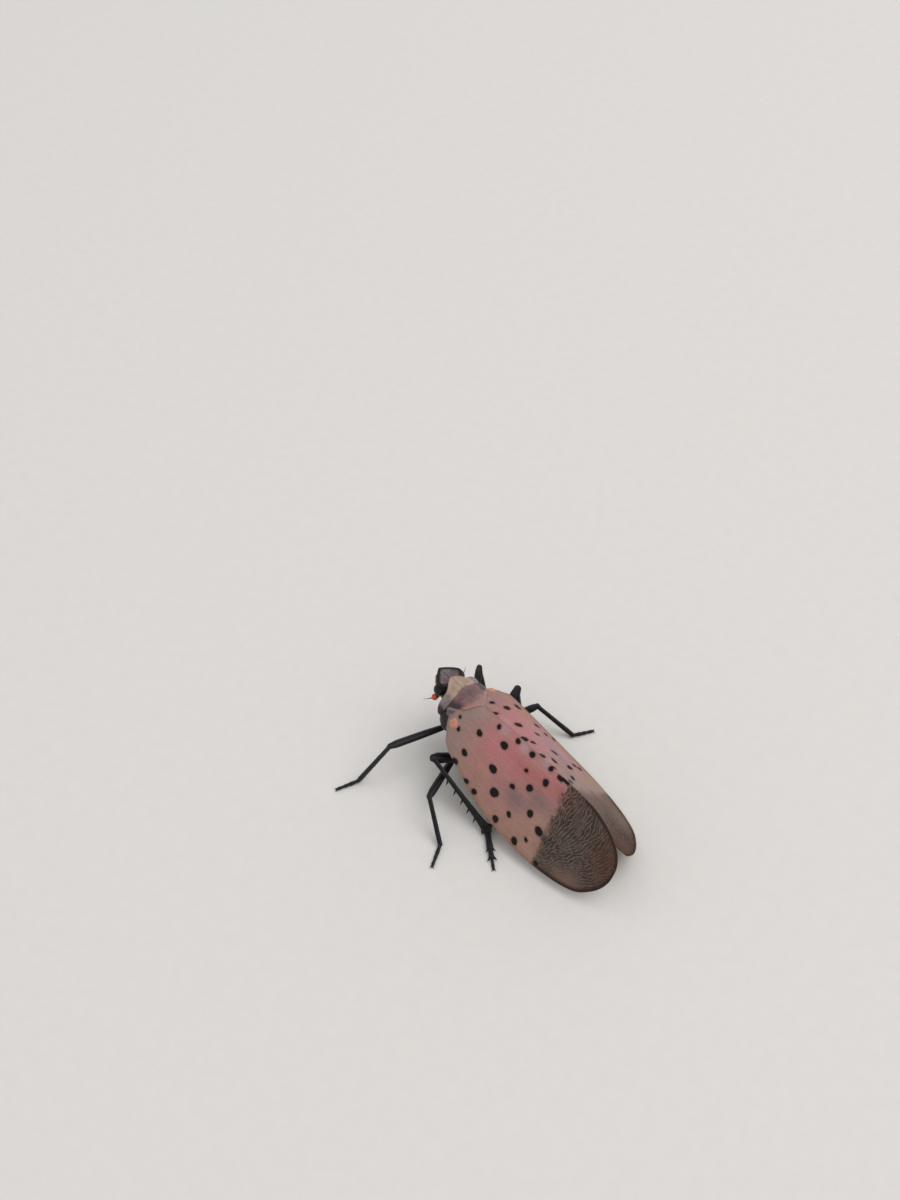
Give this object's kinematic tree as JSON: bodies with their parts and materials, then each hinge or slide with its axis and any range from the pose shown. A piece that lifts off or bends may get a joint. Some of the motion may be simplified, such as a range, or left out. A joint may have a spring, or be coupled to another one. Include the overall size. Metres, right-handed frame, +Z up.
{
  "type": "spotted lanternfly model",
  "caption": "Life-size still model of a resting spotted lanternfly, spotted forewings folded like a roof over red and black hindwings.",
  "frame": {"origin": "centre of the base of the insect's box, on the floor that its feet stand on", "axes": "+Z up, head towards -Y, the insect's own left side towards +X"},
  "size_m": [0.0214, 0.024, 0.0083],
  "materials": {
    "head": "matte, grey-black",
    "eye": "glossy, black",
    "antenna": "waxy, orange-red",
    "collar": "matte, tan",
    "shield": "matte, dark maroon",
    "thorax": "matte, black and grey",
    "tegula": "matte, orange",
    "leg": "satin, black",
    "abdomen": "satin, yellow with black bands",
    "forewing": "leathery, pinkish tan with black spots and a netted grey tip",
    "hindwing": "membranous, red with black spots and tip"
  },
  "bodies": {
    "root": {"head": "head", "eye_left": "eye", "eye_right": "eye", "antenna_left": "antenna", "antenna_right": "antenna", "rostrum": "leg", "pronotum": "collar", "mesonotum": "shield", "thorax": "thorax", "tegula_left": "tegula", "tegula_right": "tegula", "abdomen": "abdomen", "forewing_left": "forewing", "forewing_right": "forewing", "hindwing_left": "hindwing", "hindwing_right": "hindwing", "coxa_front_left": "leg", "femur_front_left": "leg", "tibia_front_left": "leg", "tarsus_front_left": "leg", "coxa_front_right": "leg", "femur_front_right": "leg", "tibia_front_right": "leg", "tarsus_front_right": "leg", "coxa_middle_left": "leg", "femur_middle_left": "leg", "tibia_middle_left": "leg", "tarsus_middle_left": "leg", "coxa_middle_right": "leg", "femur_middle_right": "leg", "tibia_middle_right": "leg", "tarsus_middle_right": "leg", "coxa_hind_left": "leg", "femur_hind_left": "leg", "tibia_hind_left": "leg", "tarsus_hind_left": "leg", "coxa_hind_right": "leg", "femur_hind_right": "leg", "tibia_hind_right": "leg", "tarsus_hind_right": "leg"}
  },
  "joints": []
}
